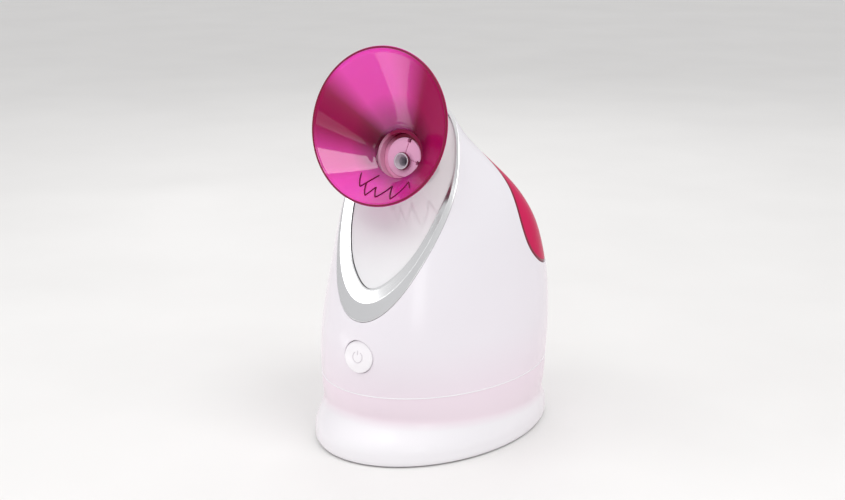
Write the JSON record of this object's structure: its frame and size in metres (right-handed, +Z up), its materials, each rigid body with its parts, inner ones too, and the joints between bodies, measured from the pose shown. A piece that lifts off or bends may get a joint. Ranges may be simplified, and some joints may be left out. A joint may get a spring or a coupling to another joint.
{
  "type": "facial steamer",
  "caption": "Table-top facial steamer: egg-shaped casing on a flared base, tilted nozzle with a wide funnel hood, and a lift-out water tank at the back.",
  "frame": {"origin": "centre of the base's outline, on the ground under the rubber feet", "axes": "+Z up; -Y to the front, the side of the button and the funnel; +X to the object's left as it faces the user"},
  "size_m": [0.1368, 0.1884, 0.2552],
  "materials": {
    "shell_white": "high gloss",
    "base_cream": "high gloss",
    "panel_white": "high gloss",
    "satin_silver": "satin",
    "nozzle_pink": "gloss",
    "outlet_grey": "satin",
    "funnel_magenta": "clear gloss",
    "collar_clear": "clear",
    "hood_crimson": "high gloss",
    "button_white": "gloss",
    "tank_clear": "clear",
    "cap_pink": "gloss",
    "seal_rubber": "matt",
    "hose_silicone": "matt",
    "foot_rubber": "matt",
    "inner_plastic": "moulded",
    "dark_plastic": "moulded",
    "boiler_metal": "turned",
    "steel": "zinc plated",
    "heater_ceramic": "fired",
    "board_green": "lacquered",
    "relay_blue": "gloss",
    "capacitor_red": "gloss",
    "transformer_yellow": "taped",
    "terminal_cream": "moulded",
    "led_clear": "clear"
  },
  "bodies": {
    "base": {"upper_housing": "shell_white", "base_skirt": "base_cream", "bottom_plate": "inner_plastic", "rubber_feet": "foot_rubber", "base_screws": "steel", "housing_screws": "steel", "trim_ring": "satin_silver", "front_panel": "panel_white", "nozzle_neck": "nozzle_pink", "nozzle_face": "nozzle_pink", "outlet_tube": "outlet_grey", "neck_o_ring": "seal_rubber", "steam_elbow": "hose_silicone", "steam_riser": "hose_silicone", "ioniser_needle": "steel", "ioniser_module": "dark_plastic", "boiler_cup": "boiler_metal", "boiler_gasket": "seal_rubber", "boiler_lid": "inner_plastic", "boiler_screws": "steel", "heater_disc": "heater_ceramic", "boiler_stand": "dark_plastic", "thermostat": "boiler_metal", "thermal_fuse": "steel", "feed_hose": "hose_silicone", "tank_well": "inner_plastic", "well_seal": "seal_rubber", "valve_pin": "inner_plastic", "button_guide": "inner_plastic", "button_board": "board_green", "tact_switch": "dark_plastic", "indicator_led": "led_clear", "control_board": "board_green", "board_posts": "inner_plastic", "power_relay": "relay_blue", "film_capacitor": "capacitor_red", "transformer": "transformer_yellow", "terminal_block": "terminal_cream", "cord_gland": "dark_plastic"},
    "button": {"power_button": "button_white"},
    "plunger": {"switch_plunger": "inner_plastic"},
    "swivel": {"swivel_ring": "nozzle_pink"},
    "funnel": {"steam_funnel": "funnel_magenta", "funnel_collar": "collar_clear", "drip_teeth": "funnel_magenta"},
    "tank": {"tank_hood": "hood_crimson", "water_tank": "tank_clear"},
    "cap": {"tank_cap": "cap_pink", "cap_seal": "seal_rubber", "valve_cage": "inner_plastic"},
    "valve": {"valve_poppet": "seal_rubber", "valve_spring": "steel"}
  },
  "joints": [
    {"name": "power_button_push", "type": "slide", "parent": "base", "child": "button", "axis": [0, 0.9928, -0.1201], "range_m": [0, 0.0012], "stiffness_N_per_m": 800, "springref_m": -0.0008},
    {"name": "switch_plunger_slide", "type": "slide", "parent": "base", "child": "plunger", "axis": [0, 0.9928, -0.1201], "range_m": [0, 0.0012]},
    {"name": "funnel_turn", "type": "hinge", "parent": "base", "child": "swivel", "pos_m": [0, -0.0368, 0.1842], "axis": [0, -0.9781, 0.2079], "range_deg": [-45, 45]},
    {"name": "funnel_pull", "type": "slide", "parent": "swivel", "child": "funnel", "axis": [0, -0.9781, 0.2079], "range_m": [0, 0.05]},
    {"name": "tank_lift", "type": "slide", "parent": "base", "child": "tank", "axis": [0, 0, 1], "range_m": [0, 0.12]},
    {"name": "cap_turn", "type": "hinge", "parent": "tank", "child": "cap", "pos_m": [0, 0.046, 0.0475], "axis": [0, 0, -1], "range_deg": [0, 90]},
    {"name": "valve_slide", "type": "slide", "parent": "cap", "child": "valve", "axis": [0, 0, -1], "range_m": [0, 0.003], "deforming": ["valve_spring"]}
  ],
  "couplings": [
    {"joint": "switch_plunger_slide", "follows": "power_button_push", "ratio": 1},
    {"joint": "valve_slide", "follows": "tank_lift", "ratio": 0.025}
  ]
}
